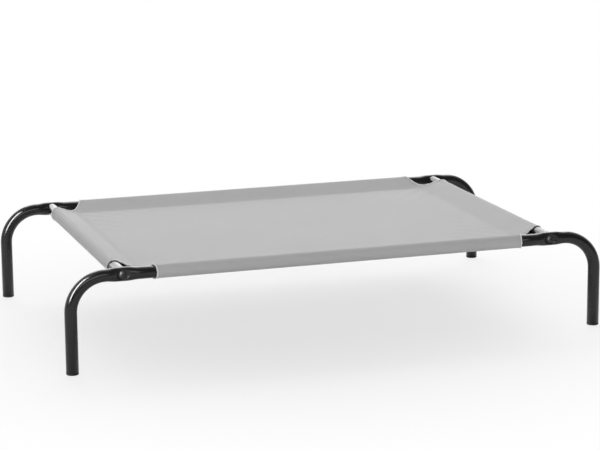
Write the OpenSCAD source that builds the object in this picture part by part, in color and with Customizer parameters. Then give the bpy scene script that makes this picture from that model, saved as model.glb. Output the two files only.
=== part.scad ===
// Raised pet cot: a bolted tube frame with bent legs, and a cloth sling with a sleeve on each side.
// X runs along the cot, Y across it and Z up. The origin is on the floor, under the middle of the deck.

/* [Frame] */
// Length of the frame over its leg tubes
frame_l = 1100; // [800:1:1400]
// Width of the frame over its side tubes
frame_w = 660; // [480:1:900]
// Height from the floor to the top of the tubes
frame_h = 198; // [160:1:300]
// Outside diameter of every frame tube
tube_d = 24; // [22:0.5:28]
// Wall of the frame tubes
tube_wall = 1.2; // [1:0.1:2]
// Radius of each leg's bend, at the tube's centre line
bend_r = 68; // [55:1:90]

/* [Corner joint] */
// Distance from a leg's axis to the end rail's axis
joint_x = 100; // [96:1:130]
// Length of the pressed stretch of tube at the joint
press_l = 62; // [50:1:64]
// How far the pressed tube grows upwards, and downwards, at the joint
press_rise = 1.6; // [1:0.1:2.2]
// How far the pressed tube's front and back faces sink at the joint
press_sink = 1.8; // [1:0.1:2.2]
// Depth of the dimple that takes the bolt's head
dimple_depth = 4.6; // [3:0.1:5]
// Radius of the dimple's flat floor
dimple_floor_r = 9; // [8.5:0.1:10]
// Radius of the dimple's mouth, at the front of the tube
dimple_mouth_r = 15; // [13:0.1:16]
// Play between the end rail's end and the leg's flat
rail_gap = 0.05; // [0.03:0.01:0.1]

/* [Fasteners] */
// Diameter of the bolts' shanks
bolt_d = 8; // [6:0.5:8]
// Length of the bolts under the head
bolt_l = 42; // [38:1:48]
// Diameter of the bolts' button heads
bolt_head_d = 14; // [12:0.5:15]
// Height of the bolts' button heads
bolt_head_h = 4.4; // [3:0.1:4.6]
// Width across the flats of the bolts' hexagon sockets
bolt_socket_af = 5; // [4:0.5:6]
// Depth of the bolts' hexagon sockets
bolt_socket_depth = 2.6; // [2:0.1:3]
// Play between a bolt and the holes that it passes through
bolt_hole_gap = 0.3; // [0.2:0.05:0.5]
// Length of the threaded insert in each end of the end rails
insert_l = 24; // [16:1:30]
// How far the insert sits inside the rail's end
insert_setback = 5; // [4:1:8]
// Play between a bolt and its insert, and between an insert and its rail
insert_gap = 0.05; // [0.03:0.01:0.1]

/* [Leg socket] */
// Distance from a leg's axis to the shoulder where the side rail begins
shoulder_x = 196; // [180:1:230]
// Length of the reduced spigot that plugs into the side rail
spigot_l = 60; // [40:1:80]
// Length of the taper from the tube to the spigot
spigot_taper = 4; // [2:0.5:6]
// Play between the spigot and the side rail, on each side
spigot_gap = 0.15; // [0.1:0.05:0.3]

/* [Feet] */
// Thickness of the foot plug's pad, under the tube
foot_pad_t = 4; // [3:0.5:6]
// Radius of the pad's lower edge
foot_edge_r = 2; // [1:0.25:2.5]
// Length of the foot plug's stem, inside the tube
foot_stem_l = 20; // [14:1:30]
// Number of ribs on the stem
foot_ribs = 3; // [2:1:4]
// Height of the ribs on the stem
foot_rib_h = 0.6; // [0.4:0.1:0.8]
// Play between a foot's ribs and the tube
foot_gap = 0.1; // [0.05:0.05:0.2]

/* [Sling] */
// Thickness of the sling's cloth
cloth_t = 1.2; // [0.8:0.1:1.6]
// Play between a sleeve and its tube
sleeve_gap = 0.3; // [0.2:0.05:0.6]
// Distance from a tube's axis to the sleeve's seam
seam_d = 42; // [34:1:50]
// Width of the stitched band at the seam
seam_w = 8; // [6:1:12]
// How far the deck lies below the tubes' axes
deck_drop = 5; // [0:0.5:8]
// Distance from the crossing of two tubes to the ends of their sleeves, along the tubes
notch_reach = 62; // [58:1:70]
// Distance from the crossing to the middle of the notch, along each tube
notch_mid = 35; // [33:0.5:40]

/* [Hidden] */
$fn = 64;
through = 1;
tuck = 0.98;

tube_r = tube_d / 2;
bore_r = tube_r - tube_wall;
leg_x = frame_l / 2 - tube_r;
rail_y = frame_w / 2 - tube_r;
rail_z = frame_h - tube_r;
end_x = leg_x - joint_x;
press_high = tube_r + press_rise;
press_deep = tube_r - press_sink;
press_x0 = joint_x - press_l / 2;
press_x1 = joint_x + press_l / 2;
bolt_r = bolt_d / 2;
seat_y = press_deep - dimple_depth;
flat_half = tube_r + 4;
end_rail_y = rail_y - press_deep - rail_gap;
sleeve_in_r = tube_r + sleeve_gap;
sleeve_out_r = sleeve_in_r + cloth_t;
deck_z = rail_z - deck_drop;
notch_out = (pow(notch_reach, 2) - 2 * pow(notch_mid, 2)) / (4 * notch_mid - 2 * notch_reach);
notch_r = norm([notch_reach + notch_out, notch_out]);
deck_half_x = end_x - seam_d;
deck_half_y = rail_y - seam_d;

// Place just inside a circle of radius r where the line from point p meets it; side is 1 above, -1 below
function touch_point(p, r, side) =
  let (a = atan2(p[1], p[0]) + side * acos(tuck * r / norm(p))) tuck * r * [cos(a), sin(a)];

// Puts a piece that is drawn for the front left corner at any corner; x and y are -1 or 1
module at_corner(x, y) {
  mirror([x > 0 ? 1 : 0, 0, 0])
    mirror([0, y > 0 ? 1 : 0, 0])
      children();
}

module tube_ring() {
  difference() {
    circle(r = tube_r);
    circle(r = bore_r);
  }
}

module tube(length) {
  linear_extrude(length) tube_ring();
}

// Solid stretch of pressed tube along X: it swells up and down, and its front and back are pressed flat
module press_body(round_r) {
  half = press_l / 2;
  swell_r = round_r + press_rise;
  deep = round_r - press_sink;
  translate([joint_x, 0, 0])
    intersection() {
      rotate([90, 0, 90])
        rotate_extrude()
          polygon([
            [0, -half], [round_r, -half], [swell_r, -tube_r / 2],
            [swell_r, tube_r / 2], [round_r, half], [0, half]
          ]);
      translate([0, 0, -tube_d])
        linear_extrude(2 * tube_d)
          polygon([
            [-half - through, -swell_r], [-flat_half, -deep], [flat_half, -deep], [half + through, -swell_r],
            [half + through, swell_r], [flat_half, deep], [-flat_half, deep], [-half - through, swell_r]
          ]);
    }
}

// Cone of the dimple, grown by wall, that runs inwards from outside the tube
module dimple_cone(wall) {
  spread = (dimple_mouth_r - dimple_floor_r) / dimple_depth;
  reach = dimple_depth + press_sink + through;
  translate([joint_x, -seat_y + wall, 0])
    rotate([90, 0, 0])
      cylinder(h = reach + wall, r1 = dimple_floor_r + wall, r2 = dimple_floor_r + wall + spread * (reach + wall));
}

// Pressed stretch of the leg: a flattened tube, with a dimple pushed into its outer face
module pressed_joint() {
  difference() {
    press_body(tube_r);
    dimple_cone(0);
    difference() {
      press_body(bore_r);
      dimple_cone(tube_wall);
    }
    translate([joint_x, 0, 0])
      rotate([90, 0, 0])
        cylinder(h = 2 * (press_deep + through), r = bolt_r + bolt_hole_gap, center = true);
  }
}

// Reduced end of the leg, from its shoulder into the side rail
module spigot() {
  spigot_r = bore_r - spigot_gap;
  rotate([90, 0, 90])
    rotate_extrude()
      polygon([
        [bore_r, -spigot_taper], [tube_r, -spigot_taper], [tube_r, 0], [spigot_r, 0],
        [spigot_r, spigot_l], [spigot_r - tube_wall, spigot_l], [spigot_r - tube_wall, 0]
      ]);
}

// Leg of the front left corner: upright, bend, pressed joint, straight run and spigot
module leg() {
  upright_l = rail_z - bend_r - foot_pad_t;
  color("#232325") translate([-leg_x, -rail_y, 0]) {
    translate([0, 0, foot_pad_t]) tube(upright_l);
    translate([bend_r, 0, rail_z - bend_r])
      rotate([90, 0, 0])
        rotate([0, 0, 90])
          rotate_extrude(angle = 90)
            translate([bend_r, 0]) tube_ring();
    translate([0, 0, rail_z]) {
      translate([bend_r, 0, 0]) rotate([0, 90, 0]) tube(press_x0 - bend_r);
      pressed_joint();
      translate([press_x1, 0, 0]) rotate([0, 90, 0]) tube(shoulder_x - spigot_taper - press_x1);
      translate([shoulder_x, 0, 0]) spigot();
    }
  }
}

// Foot plug of the front left corner: a pad as wide as the tube, and a ribbed stem inside it
module foot() {
  rib_r = bore_r - foot_gap;
  stem_r = rib_r - foot_rib_h;
  rib_step = foot_stem_l / foot_ribs;
  color("#161617") translate([-leg_x, -rail_y, 0])
    rotate_extrude() {
      difference() {
        square([tube_r, foot_pad_t]);
        translate([tube_r - foot_edge_r, 0]) square(foot_edge_r);
      }
      intersection() {
        translate([tube_r - foot_edge_r, foot_edge_r]) circle(r = foot_edge_r);
        translate([tube_r - foot_edge_r, 0]) square(foot_edge_r);
      }
      translate([0, foot_pad_t]) square([stem_r, foot_stem_l]);
      for (k = [0 : foot_ribs - 1])
        translate([0, foot_pad_t + (k + 0.5) * rib_step])
          polygon([[0, 0], [rib_r, 0], [stem_r, rib_step / 2], [0, rib_step / 2]]);
    }
}

// Bolt of the front left corner: a button head with a hexagon socket, and its shank
module bolt() {
  crown_r = (pow(bolt_head_d / 2, 2) + pow(bolt_head_h, 2)) / (2 * bolt_head_h);
  color("#2a2a2c") translate([-end_x, -rail_y - seat_y, rail_z])
    rotate([90, 0, 0]) {
      difference() {
        intersection() {
          cylinder(h = bolt_head_h, d = bolt_head_d);
          translate([0, 0, bolt_head_h - crown_r]) sphere(r = crown_r);
        }
        translate([0, 0, bolt_head_h - bolt_socket_depth])
          cylinder(h = bolt_head_h, d = bolt_socket_af / cos(30), $fn = 6);
      }
      translate([0, 0, -bolt_l]) cylinder(h = bolt_l, r = bolt_r);
    }
}

// Threaded insert of the front left corner, fixed in the end of the end rail
module insert() {
  color("#9a9a9c") translate([-end_x, -end_rail_y + insert_setback, rail_z])
    rotate([-90, 0, 0])
      difference() {
        cylinder(h = insert_l, r = bore_r - insert_gap);
        translate([0, 0, -through]) cylinder(h = insert_l + 2 * through, r = bolt_r + insert_gap);
      }
}

// Straight tube inside the front sleeve, between the shoulders of its two legs
module side_rail() {
  length = 2 * (leg_x - shoulder_x);
  color("#232325") translate([-length / 2, -rail_y, rail_z])
    rotate([0, 90, 0]) tube(length);
}

// Straight tube inside the left sleeve, between the flats of its two legs
module end_rail() {
  color("#232325") translate([-end_x, end_rail_y, rail_z])
    rotate([90, 0, 0]) tube(2 * end_rail_y);
}

// Section of a sleeve: u runs inwards from the tube's axis and v upwards
module sleeve_section() {
  upper = [seam_d, cloth_t - deck_drop];
  lower = [seam_d, -cloth_t - deck_drop];
  inner = [seam_d - seam_w, -deck_drop];
  difference() {
    union() {
      circle(r = sleeve_out_r);
      polygon([upper, touch_point(upper, sleeve_out_r, 1), touch_point(lower, sleeve_out_r, -1), lower]);
    }
    circle(r = sleeve_in_r);
    polygon([inner, touch_point(inner, sleeve_in_r, 1), touch_point(inner, sleeve_in_r, -1)]);
  }
}

// Round cuts that leave the tubes bare at the four corners
module corner_notches() {
  for (x = [-1, 1]) for (y = [-1, 1])
    translate([x * (end_x + notch_out), y * (rail_y + notch_out), 0])
      cylinder(h = 2 * frame_h, r = notch_r, $fn = 360);
}

// Sleeve on the front tube
module side_sleeve() {
  color("#a9a9aa")
    difference() {
      translate([0, -rail_y, rail_z])
        rotate([90, 0, 90])
          linear_extrude(2 * deck_half_x, center = true) sleeve_section();
      corner_notches();
    }
}

// Sleeve on the left tube
module end_sleeve() {
  color("#a9a9aa")
    difference() {
      translate([-end_x, 0, rail_z])
        rotate([90, 0, 0])
          linear_extrude(2 * deck_half_y, center = true) sleeve_section();
      corner_notches();
    }
}

// Deck between the four seams
module sling_deck() {
  color("#bcbcbd") translate([0, 0, deck_z])
    cube([2 * deck_half_x, 2 * deck_half_y, cloth_t], center = true);
}

at_corner(-1, -1) leg();  // leg_front_left
at_corner(1, -1) leg();  // leg_front_right
at_corner(-1, 1) leg();  // leg_rear_left
at_corner(1, 1) leg();  // leg_rear_right
at_corner(-1, -1) foot();  // foot_front_left
at_corner(1, -1) foot();  // foot_front_right
at_corner(-1, 1) foot();  // foot_rear_left
at_corner(1, 1) foot();  // foot_rear_right
at_corner(-1, -1) bolt();  // bolt_front_left
at_corner(1, -1) bolt();  // bolt_front_right
at_corner(-1, 1) bolt();  // bolt_rear_left
at_corner(1, 1) bolt();  // bolt_rear_right
at_corner(-1, -1) insert();  // insert_front_left
at_corner(1, -1) insert();  // insert_front_right
at_corner(-1, 1) insert();  // insert_rear_left
at_corner(1, 1) insert();  // insert_rear_right
at_corner(-1, -1) side_rail();  // side_rail_front
at_corner(-1, 1) side_rail();  // side_rail_rear
at_corner(-1, -1) end_rail();  // end_rail_left
at_corner(1, -1) end_rail();  // end_rail_right
sling_deck();
at_corner(-1, -1) side_sleeve();  // sleeve_front
at_corner(-1, 1) side_sleeve();  // sleeve_rear
at_corner(-1, -1) end_sleeve();  // sleeve_left
at_corner(1, -1) end_sleeve();  // sleeve_right
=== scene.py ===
"""Looks of the raised pet cot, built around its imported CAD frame. Lengths are in metres."""

import math

import bmesh
import bpy
import numpy as np
from mathutils import Matrix, Vector


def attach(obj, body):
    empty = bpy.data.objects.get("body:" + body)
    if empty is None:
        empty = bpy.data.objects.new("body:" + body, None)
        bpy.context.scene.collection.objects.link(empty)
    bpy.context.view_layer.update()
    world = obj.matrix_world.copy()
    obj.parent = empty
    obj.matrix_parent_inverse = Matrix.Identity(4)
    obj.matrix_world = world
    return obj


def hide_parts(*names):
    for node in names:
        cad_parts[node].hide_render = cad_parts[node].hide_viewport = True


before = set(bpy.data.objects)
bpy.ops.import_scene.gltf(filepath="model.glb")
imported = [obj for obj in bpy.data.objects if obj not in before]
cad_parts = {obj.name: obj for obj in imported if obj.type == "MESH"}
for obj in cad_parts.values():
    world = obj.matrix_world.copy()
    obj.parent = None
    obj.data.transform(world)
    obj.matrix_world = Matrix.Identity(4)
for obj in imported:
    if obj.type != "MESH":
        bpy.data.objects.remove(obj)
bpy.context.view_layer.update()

# The signs of x and y at each corner
CORNERS = {"front_left": (-1, -1), "front_right": (1, -1), "rear_left": (-1, 1), "rear_right": (1, 1)}

# Frame: the same sizes as the CAD part. END_X and RAIL_Y are the axes of the end and side rails.
TUBE_R = 0.012
LEG_X = 0.538
RAIL_Y = 0.318
RAIL_Z = 0.186
END_X = 0.438
BEND_R = 0.068
JOINT_X = LEG_X - END_X
PRESS_HALF = 0.031
PRESS_FLAT = 0.011
PRESS_RISE = 0.0016
PRESS_SINK = 0.0018
DIMPLE_DEPTH = 0.0046
DIMPLE_FLOOR_R = 0.009
DIMPLE_MOUTH_R = 0.015
FOOT_PAD = 0.004
SHOULDER_X = 0.196
SPIGOT_R = 0.01065
SPIGOT_END = 0.256

# Finer points of the legs' sweep
TUBE_CHAMFER = 0.0004
DIMPLE_LIP = 0.0004
SPIGOT_TAPER = 0.0005
BEND_LEAD = 0.001
TUBE_SIDES = 96
BEND_RINGS = 30
PRESS_RINGS = 84

# Sling: its cloth's middle surface. SEAM_D is the distance of a seam from its tube's axis.
CLOTH_T = 0.0009
SLEEVE_R = 0.0129
SEAM_D = 0.042
DECK_DROP = 0.005
SAG = 0.004
LAYER_GAP = 0.0012
HEM_W = 0.012
HEM_DROP = 0.0006
DECK_X = END_X - SEAM_D
DECK_Y = RAIL_Y - SEAM_D
COLUMNS = 120
ROWS = 84
SPAN_STEPS = 16
WRAP_POINTS = 30

# Notches: an arc about a point outside the tubes' crossing, and a mitre that starts at CORNER_D
NOTCH_OUT = 0.0293
NOTCH_R = 0.0959
CORNER_D = 0.0385
CORNER_LIFT = 0.003
LIFT_REACH = 0.0132
FLAP_GAP = 0.003

# Waves in the cloth: folds on the deck, puckers at the sleeves' ends
FOLD_H = 0.0011
FOLD_PITCH = 0.034
FOLD_REACH = 0.09
FOLD_FADE = 0.025
PUCKER_H = 0.0007
PUCKER_PITCH = 0.0125
PUCKER_REACH = 0.022
PUCKER_FADE = 0.01

# Sewing: rows are measured from the seam or from the notch's edge
STITCH = (0.0004, 0.0004, 0.0017)
STITCH_PITCH = 0.0042
STITCH_OFF = CLOTH_T / 2 + 0.0001
SEAM_ROWS = (0.0025, 0.009)
NOTCH_ROW = 0.006
ROW_POINTS_X = 160
ROW_POINTS_Y = 112
BINDING_R = 0.0013
BINDING_BACK = 0.0006
BINDING_LIFT = 0.0004
BINDING_SIDES = 10

# Points nearer than this are one point, in any mesh and along the sling's seams
DOUBLES = 1e-6
SEAM_DOUBLES = 2e-5

# Camera: fitted to the photo, with its angles in degrees
CAMERA_PLACE = (-1.3614, -4.2015, 1.1484)
CAMERA_YAW = 18.187
CAMERA_PITCH = 12.349
CAMERA_ROLL = -0.446
FOCAL_PIXELS = 2180.7
PHOTO_WIDTH_PIXELS = 600
SENSOR_MM = 36.0

FLOOR_HALF = 30


# Node trees


class Value:
    """A node's output with the usual arithmetic: each step adds a Math node to the same tree."""

    def __init__(self, tree, socket):
        self.tree = tree
        self.socket = socket

    def other(self, output):
        """Another output of the same node."""
        return Value(self.tree, self.socket.node.outputs[output])

    def math(self, operation, *values):
        return self.tree.node("ShaderNodeMath", {"operation": operation}, dict(enumerate(values)))

    def __add__(self, other):
        return self.math("ADD", self, other)

    def __sub__(self, other):
        return self.math("SUBTRACT", self, other)

    def __rsub__(self, other):
        return self.math("SUBTRACT", other, self)

    def __mul__(self, other):
        return self.math("MULTIPLY", self, other)

    def __truediv__(self, other):
        return self.math("DIVIDE", self, other)

    def __rtruediv__(self, other):
        return self.math("DIVIDE", other, self)

    def __pow__(self, other):
        return self.math("POWER", self, other)

    def __rpow__(self, other):
        return self.math("POWER", other, self)

    __radd__ = __add__
    __rmul__ = __mul__

    def __abs__(self):
        return self.math("ABSOLUTE", self)

    def sine(self):
        return self.math("SINE", self)

    def cosine(self):
        return self.math("COSINE", self)

    def at_least(self, low):
        return self.math("MAXIMUM", self, low)

    def at_most(self, high):
        return self.math("MINIMUM", self, high)

    def below(self, limit):
        """1 where the value is less than the limit, and 0 elsewhere."""
        return self.math("LESS_THAN", self, limit)

    def blend(self, low, high):
        """The colour from low, at 0, to high, at 1."""
        low, high = (c if isinstance(c, Value) else (*c, 1) for c in (low, high))
        return self.tree.node("ShaderNodeMix", {"data_type": "RGBA"}, {0: self, 6: low, 7: high}, 2)


class Tree:
    """The nodes of one tree under construction."""

    def __init__(self, net):
        self.net = net

    def feed(self, socket, value):
        """Links a Value to the socket, or sets the socket to a plain value."""
        if isinstance(value, Value):
            self.net.links.new(value.socket, socket)
        else:
            socket.default_value = value

    def node(self, kind, settings, inputs, output=0):
        """Adds a node with its settings and inputs, and returns one of its outputs."""
        made = self.net.nodes.new(kind)
        for key, value in settings.items():
            setattr(made, key, value)
        for key, value in inputs.items():
            self.feed(made.inputs[key], value)
        return Value(self, made.outputs[output])


# Finishes


class Shader(Tree):
    """The tree of a material or a world, which ends in the node named last."""

    def __init__(self, owner, last="Principled BSDF"):
        owner.use_nodes = True
        super().__init__(owner.node_tree)
        self.owner = owner
        self.last = self.net.nodes[last]

    def surface(self, inputs):
        """Feeds the last node, and returns the material or world."""
        for key, value in inputs.items():
            self.feed(self.last.inputs[key], value)
        return self.owner

    def place(self):
        """The place on the piece."""
        return self.node("ShaderNodeTexCoord", {}, {}, "Object")

    def seen_by(self, ray):
        """1 for rays of this kind, such as Camera or Glossy, and 0 for others."""
        return self.node("ShaderNodeLightPath", {}, {}, f"Is {ray} Ray")

    def ramp(self, value, start, end, low, high):
        """Low up to the start, high from the end, and a smooth step in between."""
        inputs = {"Value": value, "From Min": start, "From Max": end, "To Min": low, "To Max": high}
        return self.node("ShaderNodeMapRange", {"interpolation_type": "SMOOTHSTEP"}, inputs)

    def noise(self, vector, scale, detail=2.0):
        return self.node("ShaderNodeTexNoise", {}, {"Vector": vector, "Scale": scale, "Detail": detail})

    def streaks(self, vector, scales):
        """Noise with its own scale along each axis."""
        stretched = self.node("ShaderNodeMapping", {}, {"Vector": vector, "Scale": scales})
        return self.noise(stretched, scale=1.0)

    def bump(self, height, strength, distance):
        inputs = {"Height": height, "Strength": strength, "Distance": distance}
        return self.node("ShaderNodeBump", {}, inputs)


def new_finish(name):
    return Shader(bpy.data.materials.new(name))


def powder_coat():
    """Semi-gloss black coat: a fine orange peel, and patches that are slightly duller."""
    s = new_finish("powder_coat")
    place = s.place()
    peel = s.noise(place, scale=900.0)
    patches = s.noise(place, scale=14.0, detail=4.0)
    return s.surface(
        {
            "Base Color": patches.blend((0.008, 0.008, 0.009), (0.019, 0.019, 0.021)),
            "Roughness": patches * 0.12 + 0.13,
            "IOR": 1.5,
            "Normal": s.bump(peel, strength=0.06, distance=0.0003),
        }
    )


def moulded_plastic():
    """Black plug plastic with a fine spark-eroded grain."""
    s = new_finish("moulded_plastic")
    place = s.place()
    grain = s.noise(place, scale=1600.0)
    clouds = s.noise(place, scale=60.0)
    return s.surface(
        {
            "Base Color": clouds.blend((0.006, 0.006, 0.006), (0.013, 0.013, 0.013)),
            "Roughness": grain * 0.2 + 0.45,
            "Normal": s.bump(grain, strength=0.25, distance=0.0003),
        }
    )


def black_oxide():
    """Bolt finish: dark, dull steel with rubbed, paler patches."""
    s = new_finish("black_oxide")
    place = s.place()
    rubbed = s.noise(place, scale=260.0, detail=5.0) ** 3.0
    grain = s.noise(place, scale=2200.0)
    return s.surface(
        {
            "Base Color": rubbed.blend((0.07, 0.07, 0.072), (0.2, 0.2, 0.204)),
            "Roughness": 0.58 - rubbed * 0.15,
            "Metallic": 0.8,
            "Normal": s.bump(grain, strength=0.15, distance=0.0002),
        }
    )


def turned_steel():
    """Plain steel with fine turning marks round the bolt's axis."""
    s = new_finish("turned_steel")
    marks = s.streaks(s.place(), (40.0, 4000.0, 40.0))
    return s.surface(
        {
            "Base Color": marks.blend((0.3, 0.3, 0.31), (0.4, 0.4, 0.41)),
            "Roughness": marks * 0.2 + 0.25,
            "Metallic": 1.0,
        }
    )


def woven_cloth(name, dark, pale, thread_pitch=0.0011):
    """Fine plain weave on the piece's own map, with thicker threads here and there both ways."""
    s = new_finish(name)
    flat = s.node("ShaderNodeUVMap", {"uv_map": "cut"}, {})
    across = s.node("ShaderNodeSeparateXYZ", {}, {0: flat}, "X")
    along = across.other("Y")
    threads = 2 * math.pi / thread_pitch
    weave = (across * threads).sine() * (along * threads).sine()
    slubs = s.streaks(flat, (25.0, 900.0, 1.0)) + s.streaks(flat, (900.0, 25.0, 1.0))
    clouds = s.noise(flat, scale=7.0, detail=3.0)
    tone = slubs * 0.15 + clouds * 0.3 + weave * 0.03 + 0.2
    return s.surface(
        {
            "Base Color": tone.blend(dark, pale),
            "Roughness": 0.92 - slubs * 0.06,
            "Sheen Weight": 0.12,
            "Sheen Roughness": 0.5,
            "Normal": s.bump(weave * 0.5 + slubs * 0.6, strength=0.35, distance=0.0003),
        }
    )


def sewing_thread():
    """Pale grey thread with its fibres."""
    s = new_finish("sewing_thread")
    fibres = s.noise(s.place(), scale=3000.0)
    return s.surface(
        {
            "Base Color": fibres.blend((0.42, 0.42, 0.43), (0.62, 0.62, 0.63)),
            "Roughness": fibres * 0.2 + 0.6,
            "Normal": s.bump(fibres, strength=0.3, distance=0.0002),
        }
    )


COAT = powder_coat()
PLASTIC = moulded_plastic()
OXIDE = black_oxide()
STEEL = turned_steel()
CLOTH = woven_cloth("sling_cloth", (0.44, 0.44, 0.444), (0.58, 0.58, 0.584))
# The binding's cloth is the sling's cloth painted much paler. The paleness is a painted highlight of light
# along the rolled edge.
HIGHLIT_HEM_CLOTH = woven_cloth("hem_cloth_painted_highlight", (0.8, 0.8, 0.805), (0.92, 0.92, 0.925))
THREAD = sewing_thread()


# Meshes


def new_object(name, data):
    """An object in the scene, at the origin."""
    made = bpy.data.objects.new(name, data)
    bpy.context.scene.collection.objects.link(made)
    return made


def add_piece(name, mesh, material, replaced=()):
    """Makes a finished mesh a piece of the cot, in place of these CAD nodes."""
    mesh.materials.clear()
    mesh.materials.append(material)
    piece = new_object(name, mesh)
    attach(piece, "root")
    if replaced:
        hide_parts(*replaced)
    return piece


def plain_mesh(made, name):
    """The object's mesh with its modifiers applied; the object itself is removed."""
    bpy.context.view_layer.update()
    graph = bpy.context.evaluated_depsgraph_get()
    mesh = bpy.data.meshes.new_from_object(made.evaluated_get(graph), depsgraph=graph)
    mesh.name = name
    bpy.data.objects.remove(made)
    return mesh


def tidy_normals(mesh):
    """Merges doubles, turns the faces outwards and smooths them."""
    made = bmesh.new()
    made.from_mesh(mesh)
    bmesh.ops.remove_doubles(made, verts=made.verts, dist=DOUBLES)
    bmesh.ops.recalc_face_normals(made, faces=made.faces)
    for face in made.faces:
        face.smooth = True
    made.to_mesh(mesh)
    made.free()
    return mesh


def set_cut(mesh, places):
    """Gives the mesh a map of where its points lie on the flat cloth."""
    layer = mesh.uv_layers.new(name="cut")
    layer.data.foreach_set("uv", places[[loop.vertex_index for loop in mesh.loops]].ravel())


def wire(name, lines):
    """An object of edges only, one chain for each line of points."""
    points, edges = [], []
    for line in lines:
        start = len(points)
        points += [tuple(p) for p in line]
        edges += [(start + i, start + i + 1) for i in range(len(line) - 1)]
    mesh = bpy.data.meshes.new(name)
    mesh.from_pydata(points, edges, [])
    return new_object(name, mesh)


SOCKETS = {float: "NodeSocketFloat", tuple: "NodeSocketVector", bpy.types.Material: "NodeSocketMaterial"}


class Shape(Tree):
    """A geometry node group that works along chains of edges, with its sizes as named inputs."""

    def __init__(self, name, sizes):
        super().__init__(bpy.data.node_groups.new(name, "GeometryNodeTree"))
        sockets = self.net.interface
        sockets.new_socket("Geometry", in_out="INPUT", socket_type="NodeSocketGeometry")
        sockets.new_socket("Geometry", in_out="OUTPUT", socket_type="NodeSocketGeometry")
        self.settings = {}
        for key, value in sizes.items():
            socket = sockets.new_socket(key, in_out="INPUT", socket_type=SOCKETS[type(value)])
            self.settings[socket.identifier] = value
        self.start = self.net.nodes.new("NodeGroupInput")

    def given(self, name):
        """One of the group's inputs."""
        return Value(self, self.start.outputs[name])

    def curve(self):
        """The chains as curves."""
        return self.node("GeometryNodeMeshToCurve", {}, {"Mesh": self.given("Geometry")})

    def swept(self, sides, radius):
        """A closed round tube along the chains."""
        ring = self.node("GeometryNodeCurvePrimitiveCircle", {}, {"Resolution": sides, "Radius": 1.0})
        inputs = {"Curve": self.curve(), "Profile Curve": ring, "Scale": radius, "Fill Caps": True}
        return self.node("GeometryNodeCurveToMesh", {}, inputs)

    def end(self, geometry):
        """Ends the group with this geometry, in the finish that it is given."""
        real = self.node("GeometryNodeRealizeInstances", {}, {"Geometry": geometry})
        inputs = {"Geometry": real, "Material": self.given("Finish")}
        done = self.node("GeometryNodeSetMaterial", {}, inputs)
        self.feed(self.net.nodes.new("NodeGroupOutput").inputs["Geometry"], done)

    def made_along(self, chains):
        """Plain mesh of what the group makes along the chains, whose object is removed."""
        work = chains.modifiers.new("shape", "NODES")
        work.node_group = self.net
        for key, value in self.settings.items():
            work[key] = value
        return tidy_normals(plain_mesh(chains, chains.name))


# Legs: one swept tube each, pressed and dimpled at the bolt


def leg_axis():
    """Points along the front left leg from its foot to its spigot, and the tube's radius at each."""
    bend_z = RAIL_Z - BEND_R
    rows = [
        (0, FOOT_PAD, TUBE_R - TUBE_CHAMFER),
        (0, FOOT_PAD + TUBE_CHAMFER, TUBE_R),
        (0, bend_z - BEND_LEAD, TUBE_R),
    ]
    for a in np.linspace(0, math.pi / 2, BEND_RINGS):
        rows.append((BEND_R * (1 - math.cos(a)), bend_z + BEND_R * math.sin(a), TUBE_R))
    for x in np.linspace(JOINT_X - PRESS_HALF, JOINT_X + PRESS_HALF, PRESS_RINGS):
        rows.append((x, RAIL_Z, TUBE_R))
    rows += [
        (SHOULDER_X - SPIGOT_TAPER, RAIL_Z, TUBE_R),
        (SHOULDER_X, RAIL_Z, SPIGOT_R),
        (SPIGOT_END, RAIL_Z, SPIGOT_R),
    ]
    x, z, radius = np.array(rows).T
    return np.column_stack([x, np.zeros_like(x), z]), radius


def pressed_tube():
    """Group that sweeps a leg's tube, presses it flat at the bolt and pushes a dimple into its front."""
    g = Shape(
        "pressed_tube",
        {
            "Joint": JOINT_X,
            "Height": RAIL_Z,
            "Tube Radius": TUBE_R,
            "Flat": PRESS_FLAT,
            "Pressed": PRESS_HALF,
            "Rise": PRESS_RISE,
            "Sink": PRESS_SINK,
            "Floor Depth": TUBE_R - PRESS_SINK - DIMPLE_DEPTH,
            "Floor Radius": DIMPLE_FLOOR_R,
            "Slope": DIMPLE_DEPTH / (DIMPLE_MOUTH_R - DIMPLE_FLOOR_R),
            "Lip": DIMPLE_LIP,
            "Finish": COAT,
        },
    )
    radius = g.node("GeometryNodeInputNamedAttribute", {"data_type": "FLOAT"}, {"Name": "tube_radius"})
    tube = g.swept(TUBE_SIDES, radius)
    x = g.node("ShaderNodeSeparateXYZ", {}, {0: g.node("GeometryNodeInputPosition", {}, {})}, "X")
    y, z = x.other("Y"), x.other("Z")

    # Pressing: its share is 1 on the flat and falls smoothly to 0 at the ends of the pressed stretch
    along = x - g.given("Joint")
    past = (abs(along) - g.given("Flat")) / (g.given("Pressed") - g.given("Flat"))
    share = (past.at_least(0.0).at_most(1.0) * math.pi).cosine() * 0.5 + 0.5
    deep = y * (1.0 - share * g.given("Sink") / g.given("Tube Radius"))
    high = (z - g.given("Height")) * (1.0 + share * g.given("Rise") / g.given("Tube Radius"))

    # Dimple: the front wall stays behind a cone with a flat floor, with a rounded lip where they meet
    out = (along * along + high * high) ** 0.5 - g.given("Floor Radius")
    cone = 0.0 - g.given("Floor Depth") - g.given("Slope") * out.at_least(0.0)
    apart = deep - cone
    rounded = (apart * apart + g.given("Lip") * g.given("Lip")) ** 0.5
    dimpled = (deep + cone + rounded) * 0.5
    front = y.below(0.0)

    place = {"X": x, "Y": deep + front * (dimpled - deep), "Z": high + g.given("Height")}
    moved = {"Geometry": tube, "Position": g.node("ShaderNodeCombineXYZ", {}, place)}
    g.end(g.node("GeometryNodeSetPosition", {}, moved))
    return g


def front_left_leg():
    """Mesh of the front left leg, with the middle of its foot at the origin."""
    line, radius = leg_axis()
    axis = wire("tube_leg", [line])
    axis.data.attributes.new("tube_radius", "FLOAT", "POINT").data.foreach_set("value", radius)
    return pressed_tube().made_along(axis)


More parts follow.
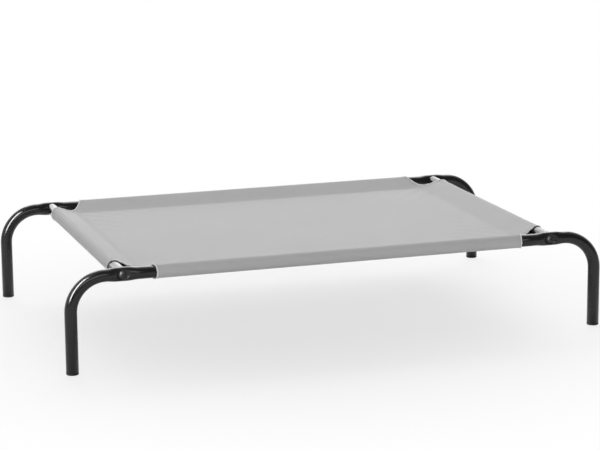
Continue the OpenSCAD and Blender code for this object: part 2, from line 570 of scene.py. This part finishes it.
leg_mesh = front_left_leg()
for corner, (side, end) in CORNERS.items():
    mesh = leg_mesh.copy()
    mesh.name = "tube_leg_" + corner
    mesh.transform(Matrix.Diagonal((-side, -end, 1, 1)) @ Matrix.Translation((-LEG_X, -RAIL_Y, 0)))
    add_piece("tube_leg_" + corner, tidy_normals(mesh), COAT, ["leg_" + corner])


# CAD pieces that keep their own shape

FINISHES = {"side_rail": COAT, "end_rail": COAT, "foot": PLASTIC, "bolt": OXIDE, "insert": STEEL}
for name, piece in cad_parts.items():
    for start, finish in FINISHES.items():
        if name.startswith(start):
            piece.data.materials.clear()
            piece.data.materials.append(finish)


# Sling: the deck and four sleeves, sewn to each other in one piece of cloth


def sleeve_path():
    """Points (inwards, up, length along the cloth) round a sleeve: seam, tube, and back to the hem."""
    top = np.array([SEAM_D, -DECK_DROP])
    low = np.array([SEAM_D, -DECK_DROP - LAYER_GAP])

    def touch(point, side):
        """Angle at which a line from the point touches the sleeve's round."""
        return math.atan2(point[1], point[0]) + side * math.acos(SLEEVE_R / math.hypot(*point))

    def span(start, end):
        return start + np.outer(np.linspace(0, 1, SPAN_STEPS + 1), end - start)

    angles = np.linspace(touch(top, 1), touch(low, -1) + 2 * math.pi, WRAP_POINTS)
    wrap = SLEEVE_R * np.column_stack([np.cos(angles), np.sin(angles)])
    hem = [low + np.array([HEM_W, -HEM_DROP]) * t for t in (0.5, 1.0)]
    path = np.vstack([span(top, wrap[0])[:-1], wrap, span(wrap[-1], low)[1:], hem])
    steps = np.hypot(*np.diff(path, axis=0).T)
    return np.column_stack([path, np.concatenate([[0], np.cumsum(steps)])])


PATH = sleeve_path()
LOOP_LENGTH = PATH[-1, 2]
UNDER = PATH[:, 2] > LOOP_LENGTH / 2


def cut_back(inwards):
    """How far a sleeve's end stops short of the tubes' crossing, at this distance inwards of its tube."""
    arc = np.sqrt(np.maximum(NOTCH_R**2 - (inwards + NOTCH_OUT) ** 2, 0)) - NOTCH_OUT
    return np.maximum(arc, inwards)


def corner_lift(one, other, under=False):
    """Lift that rounds off the crease between two sleeves, at these distances inwards of their tubes.

    The cloth under the deck has hardly a crease, so it is only carried along.
    """
    aside = (one - other) / 2
    inside = np.maximum(np.minimum(one, other) - SEAM_D, 0)
    share = np.maximum(1 - np.hypot(aside, inside) / LIFT_REACH, 0)
    return CORNER_LIFT * share**2 * np.where(under, 3 - 2 * share, 1)


def deck_height(x, y):
    """Height of the deck: a shallow dish, with faint folds that run in from the corners."""
    to_end, to_side = DECK_X - abs(x), DECK_Y - abs(y)
    along, skew = (to_end + to_side) / math.sqrt(2), (to_end - to_side) / math.sqrt(2)
    faded = np.exp(-along / FOLD_REACH) * np.clip(np.minimum(to_end, to_side) / FOLD_FADE, 0, 1)
    folds = FOLD_H * faded * np.cos(2 * math.pi * skew / FOLD_PITCH)
    dish = SAG * (1 - (x / DECK_X) ** 2) * (1 - (y / DECK_Y) ** 2)
    return RAIL_Z - DECK_DROP - dish + folds + corner_lift(END_X - abs(x), RAIL_Y - abs(y))


def hem_height(x, y):
    """Height of the hem, under the deck's edge."""
    to_end, to_side = END_X - abs(x), RAIL_Y - abs(y)
    flat = np.interp(np.minimum(to_end, to_side), PATH[-3:, 0], PATH[-3:, 1])
    return RAIL_Z + flat + corner_lift(to_end, to_side, under=True)


def sleeve_points(run, half_length, lift=0.0):
    """Points of a sleeve in (along, inwards, up), for places run from -1 to 1 along it.

    Lift moves them off the cloth's outer face.
    """
    inwards, up, length = PATH.T
    edge = np.gradient(PATH[:, :2], axis=0)
    normal = np.column_stack([-edge[:, 1], edge[:, 0]]) / np.hypot(*edge.T)[:, None]
    flap = UNDER * np.clip((inwards - SLEEVE_R) / (SEAM_D - SLEEVE_R), 0, 1)
    reach = half_length - cut_back(inwards) - FLAP_GAP * flap
    along = reach[:, None] * run
    from_end = reach[:, None] - abs(along)
    waves = 0.5 + 0.5 * np.sin(2 * math.pi * length / PUCKER_PITCH)
    waves = waves * np.clip((SEAM_D - inwards) / PUCKER_FADE, 0, 1)
    off = PUCKER_H * np.exp(-from_end / PUCKER_REACH) * waves[:, None] + lift
    u = inwards[:, None] - normal[:, :1] * off
    v = up[:, None] - normal[:, 1:] * off
    v = v + corner_lift(inwards[:, None], half_length - abs(along), UNDER[:, None])
    return np.stack([along, u, v], axis=2)


def grid(points, map_points):
    """Vertices, faces and map of a rectangular net of points."""
    rows, columns = points.shape[:2]
    faces = [
        (r * columns + c, r * columns + c + 1, (r + 1) * columns + c + 1, (r + 1) * columns + c)
        for r in range(rows - 1)
        for c in range(columns - 1)
    ]
    return points.reshape(-1, 3), faces, map_points.reshape(-1, 2)


def sling_parts():
    """The nets of the deck and the four sleeves."""
    run_x, run_y = np.linspace(-1, 1, COLUMNS + 1), np.linspace(-1, 1, ROWS + 1)
    x, y = np.meshgrid(run_x * DECK_X, run_y * DECK_Y)
    yield grid(np.stack([x, y, deck_height(x, y)], axis=2), np.stack([x, y], axis=2))
    for side in (-1, 1):
        along, inwards, up = np.moveaxis(sleeve_points(run_x, END_X), 2, 0)
        placed = np.stack([along, side * (RAIL_Y - inwards), RAIL_Z + up], axis=2)
        far = np.broadcast_to(side * (DECK_Y + PATH[:, 2:]), along.shape)
        yield grid(placed, np.stack([along, far], axis=2))
        along, inwards, up = np.moveaxis(sleeve_points(run_y, RAIL_Y), 2, 0)
        placed = np.stack([side * (END_X - inwards), along, RAIL_Z + up], axis=2)
        far = np.broadcast_to(side * (DECK_X + PATH[:, 2:]), along.shape)
        yield grid(placed, np.stack([far, along], axis=2))


def sewn_sling():
    """One mesh of cloth, with the nets joined along the seams and given a thickness, and its area."""
    points, faces, cut = [], [], []
    for part_points, part_faces, part_cut in sling_parts():
        start = sum(len(p) for p in points)
        points.append(part_points)
        cut.append(part_cut)
        faces += [tuple(start + i for i in face) for face in part_faces]
    mesh = bpy.data.meshes.new("sling_net")
    mesh.from_pydata(np.concatenate(points).tolist(), [], faces)
    set_cut(mesh, np.concatenate(cut))
    made = bmesh.new()
    made.from_mesh(mesh)
    bmesh.ops.remove_doubles(made, verts=made.verts, dist=SEAM_DOUBLES)
    bmesh.ops.recalc_face_normals(made, faces=made.faces)
    area = sum(face.calc_area() for face in made.faces)
    made.to_mesh(mesh)
    made.free()
    net = new_object("sling_net", mesh)
    thicken = net.modifiers.new("thickness", "SOLIDIFY")
    thicken.thickness = CLOTH_T
    thicken.offset = 0
    return tidy_normals(plain_mesh(net, "sling")), area


def at_corners(line):
    """The line of the front left corner, mirrored to all four."""
    return [line * [-x, -y, 1.0] for x, y in CORNERS.values()]


def notch_line(back, lift):
    """The line round the front left notch, set back from the cloth's edge and lifted off its face."""
    side = sleeve_points(np.array([-1.0 + back / END_X]), END_X, lift)
    end = sleeve_points(np.array([-1.0 + back / RAIL_Y]), RAIL_Y, lift)
    open_part = PATH[:, 0] < np.where(UNDER, SEAM_D, CORNER_D)
    side, end = side[open_part, 0], end[open_part, 0]
    along_side = np.column_stack([side[:, 0], side[:, 1] - RAIL_Y, side[:, 2] + RAIL_Z])
    along_end = np.column_stack([end[:, 1] - END_X, end[:, 0], end[:, 2] + RAIL_Z])
    inwards = CORNER_D + back / math.sqrt(2)
    upper = PATH[SPAN_STEPS::-1]
    up = np.interp(inwards, upper[:, 0], upper[:, 1]) + corner_lift(inwards, inwards) + lift
    mitre = [[inwards - END_X, inwards - RAIL_Y, RAIL_Z + up]]
    return np.concatenate([along_side[::-1], mitre, along_end])


def seam_lines(inside):
    """Lines on the deck's face and under the hem, this far inside the four seams."""
    x = np.linspace(-1, 1, ROW_POINTS_X) * (DECK_X - inside)
    y = np.linspace(-1, 1, ROW_POINTS_Y) * (DECK_Y - inside)
    for side in (-1, 1):
        for px, py in ((x, np.full_like(x, side * y[-1])), (np.full_like(y, side * x[-1]), y)):
            yield np.column_stack([px, py, deck_height(px, py) + STITCH_OFF])
            yield np.column_stack([px, py, hem_height(px, py) - STITCH_OFF])


def stitches():
    """Group that lays stitches along the chains."""
    g = Shape("stitches", {"Pitch": STITCH_PITCH, "Stitch": STITCH, "Finish": THREAD})
    spaced = {"Curve": g.curve(), "Length": g.given("Pitch")}
    places = g.node("GeometryNodeCurveToPoints", {"mode": "LENGTH"}, spaced, "Points")
    bead = g.node("GeometryNodeMeshUVSphere", {}, {"Segments": 8, "Rings": 5, "Radius": 1.0})
    turned = places.other("Rotation")
    laid = {"Points": places, "Instance": bead, "Rotation": turned, "Scale": g.given("Stitch")}
    g.end(g.node("GeometryNodeInstanceOnPoints", {}, laid))
    return g


def rolled_binding():
    """Group that makes a narrow round binding along the chains, in the pale cloth whose paleness is a
    painted highlight along the rolled edge.
    """
    g = Shape("rolled_binding", {"Binding Radius": BINDING_R, "Finish": HIGHLIT_HEM_CLOTH})
    g.end(g.swept(BINDING_SIDES, g.given("Binding Radius")))
    return g


def bound_notches(name):
    """Mesh of the binding round the four notches."""
    edges = wire(name, at_corners(notch_line(BINDING_BACK, BINDING_LIFT)))
    mesh = rolled_binding().made_along(edges)
    set_cut(mesh, np.array([v.co[:2] for v in mesh.vertices]))
    return mesh


def sewn_rows(name):
    """Mesh of the stitches along the seams and round the four notches."""
    rows = [line for inside in SEAM_ROWS for line in seam_lines(inside)]
    rows += at_corners(notch_line(NOTCH_ROW, STITCH_OFF))
    return stitches().made_along(wire(name, rows))


sling_mesh, cloth_area = sewn_sling()
SLING_NODES = ["sling_deck", "sleeve_front", "sleeve_rear", "sleeve_left", "sleeve_right"]
sling = add_piece("sling", sling_mesh, CLOTH, SLING_NODES)
binding = add_piece("notch_binding", bound_notches("notch_binding"), HIGHLIT_HEM_CLOTH)
stitching = add_piece("stitching", sewn_rows("stitching"), THREAD)

2 * (DECK_X + LOOP_LENGTH)
2 * (DECK_Y + LOOP_LENGTH)


# Stage, light and camera


def white_floor():
    """Wide floor that keeps the cot's shadow, and is plain white to the camera further off."""
    mesh = bpy.data.meshes.new("floor")
    square = [(-1, -1), (1, -1), (1, 1), (-1, 1)]
    mesh.from_pydata([(x * FLOOR_HALF, y * FLOOR_HALF, 0) for x, y in square], [], [(0, 1, 2, 3)])
    s = new_finish("floor_paint")
    paint = s.surface({"Base Color": (0.96, 0.96, 0.96, 1), "Roughness": 0.9, "Specular IOR Level": 0.1})
    distance = s.node("ShaderNodeVectorMath", {"operation": "LENGTH"}, {0: s.place()}, "Value")
    far = s.ramp(distance, start=0.3, end=1.1, low=0.6, high=1.0) * s.seen_by("Camera")
    plain = s.node("ShaderNodeEmission", {}, {"Color": (1, 1, 1, 1), "Strength": 1.0})
    both = s.node("ShaderNodeMixShader", {}, {0: far, 1: Value(s, s.last.outputs[0]), 2: plain})
    s.feed(s.net.nodes["Material Output"].inputs["Surface"], both)
    mesh.materials.append(paint)
    new_object("floor", mesh)


def softbox(name, place, aim, size, power, mirrored_only=False):
    """Area lamp at a place, pointing at aim; it can be one that only reflections show."""
    lamp = bpy.data.lights.new(name, "AREA")
    lamp.shape = "RECTANGLE"
    lamp.size, lamp.size_y = size
    lamp.energy = power
    made = new_object(name, lamp)
    made.location = place
    away = Vector(place) - Vector(aim)
    made.rotation_mode = "QUATERNION"
    made.rotation_quaternion = away.to_track_quat("Z", "Y")
    made.visible_diffuse = not mirrored_only


def studio_world():
    """White to the camera; reflections see it white behind the cot and dim in front of it."""
    world = bpy.data.worlds.new("studio")
    bpy.context.scene.world = world
    s = Shader(world, "Background")
    way = s.node("ShaderNodeTexCoord", {}, {}, "Generated")
    backwards = s.node("ShaderNodeSeparateXYZ", {}, {0: way}, "Y")
    mirrored = s.ramp(backwards, start=-0.3, end=0.5, low=0.1, high=1.0)
    lit = s.seen_by("Glossy").blend((0.4, 0.4, 0.4), mirrored)
    s.surface({"Color": s.seen_by("Camera").blend(lit, (1.0, 1.0, 1.0)), "Strength": 1.0})


def photo_camera():
    """Camera that sees the cot as the photo does."""
    yaw, pitch, roll = (math.radians(a) for a in (CAMERA_YAW, CAMERA_PITCH, CAMERA_ROLL))
    level = math.cos(pitch)
    ahead = np.array([math.sin(yaw) * level, math.cos(yaw) * level, -math.sin(pitch)])
    right = np.array([math.cos(yaw), -math.sin(yaw), 0.0])
    up = np.cross(right, ahead)
    turned_right = math.cos(roll) * right + math.sin(roll) * up
    turned_up = math.cos(roll) * up - math.sin(roll) * right
    lens = bpy.data.cameras.new("photo_camera")
    lens.sensor_width = SENSOR_MM
    lens.lens = SENSOR_MM * FOCAL_PIXELS / PHOTO_WIDTH_PIXELS
    lens.clip_end = 100
    made = new_object("photo_camera", lens)
    turn = Matrix(np.column_stack([turned_right, turned_up, -ahead]).tolist())
    made.matrix_world = Matrix.Translation(CAMERA_PLACE) @ turn.to_4x4()
    bpy.context.scene.camera = made


white_floor()
softbox("key_light", place=(0.7, 2.6, 2.7), aim=(0, 0, 0.1), size=(3.4, 2.4), power=74)
softbox("back_panel", place=(1.2, 4.2, 1.25), aim=(0, 0, 0.3), size=(8.0, 1.5), power=75)
softbox(
    "left_strip", place=(-2.4, -1.1, 1.7), aim=(-0.4, 0, 0.1), size=(0.8, 2.6), power=210, mirrored_only=True
)
softbox("front_fill", place=(-0.9, -3.4, 1.8), aim=(0, 0, 0.1), size=(3.0, 1.2), power=24)
studio_world()
photo_camera()
bpy.context.scene.view_settings.view_transform = "Standard"
